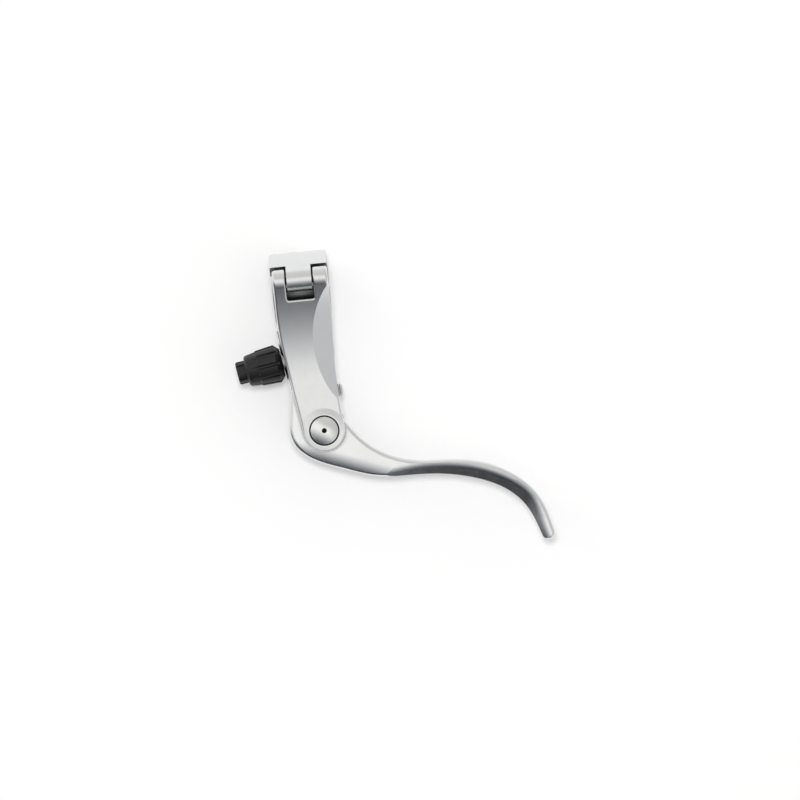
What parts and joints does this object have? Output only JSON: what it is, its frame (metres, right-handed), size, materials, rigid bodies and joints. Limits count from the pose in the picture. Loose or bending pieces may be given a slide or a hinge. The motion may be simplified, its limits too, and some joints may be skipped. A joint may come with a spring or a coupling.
{
  "type": "inline brake lever",
  "caption": "Bicycle brake lever with a hinged bar clamp, a channel-shaped arm, an S-shaped finger blade on a domed pivot, a fluted barrel adjuster and a reach screw.",
  "frame": {"origin": "centre of the bar clamp's bore, halfway along its width", "axes": "+X along the bar, +Y from the finger blade back to the bar and rider, +Z out of the face with the domed pivot"},
  "size_m": [0.1129, 0.1156, 0.0416],
  "materials": {
    "satin_alloy": "satin, tumbled",
    "polished_alloy": "satin, polished",
    "steel": "zinc plated",
    "dome_steel": "turned, nickel plated",
    "bronze": "sintered",
    "slip_polymer": "matt",
    "black_plastic": "moulded, fine grain",
    "dark_alloy": "dark anodised"
  },
  "bodies": {
    "bracket": {"bracket_body": "satin_alloy", "clamp_hinge_pin": "steel", "pivot_post": "dome_steel", "pivot_head_washer": "black_plastic", "pivot_screw": "steel"},
    "clamp_cap": {"clamp_cap": "satin_alloy", "clamp_bolt": "steel", "clamp_washer": "steel"},
    "lever": {"lever_blade": "polished_alloy", "pivot_bush": "bronze", "pivot_washer_near": "slip_polymer", "pivot_washer_far": "slip_polymer"},
    "ferrule": {"adjuster_ferrule": "dark_alloy"},
    "adjuster": {"adjuster_knob": "black_plastic", "adjuster_stem": "dark_alloy"},
    "reach_screw": {"reach_screw": "steel"}
  },
  "joints": [
    {"name": "lever_pivot", "type": "hinge", "parent": "bracket", "child": "lever", "pos_m": [0.0038, -0.0542, 0], "axis": [0, 0, 1], "range_deg": [0, 24]},
    {"name": "clamp_hinge", "type": "hinge", "parent": "bracket", "child": "clamp_cap", "pos_m": [0, 0.0023, 0.0156], "axis": [1, 0, 0], "range_deg": [0, 75]},
    {"name": "adjuster_travel", "type": "slide", "parent": "lever", "child": "ferrule", "axis": [-0.9878, -0.1555, 0], "range_m": [0, 0.004]},
    {"name": "adjuster_turn", "type": "hinge", "parent": "ferrule", "child": "adjuster", "pos_m": [-0.00929, -0.02733, 0], "axis": [-0.9878, -0.1555, 0], "range_deg": [0, 1440]},
    {"name": "reach_travel", "type": "slide", "parent": "bracket", "child": "reach_screw", "axis": [1, 0, 0], "range_m": [0, 0.002]}
  ],
  "couplings": [
    {"joint": "adjuster_turn", "follows": "adjuster_travel", "rad_per_m": 6283.2}
  ]
}
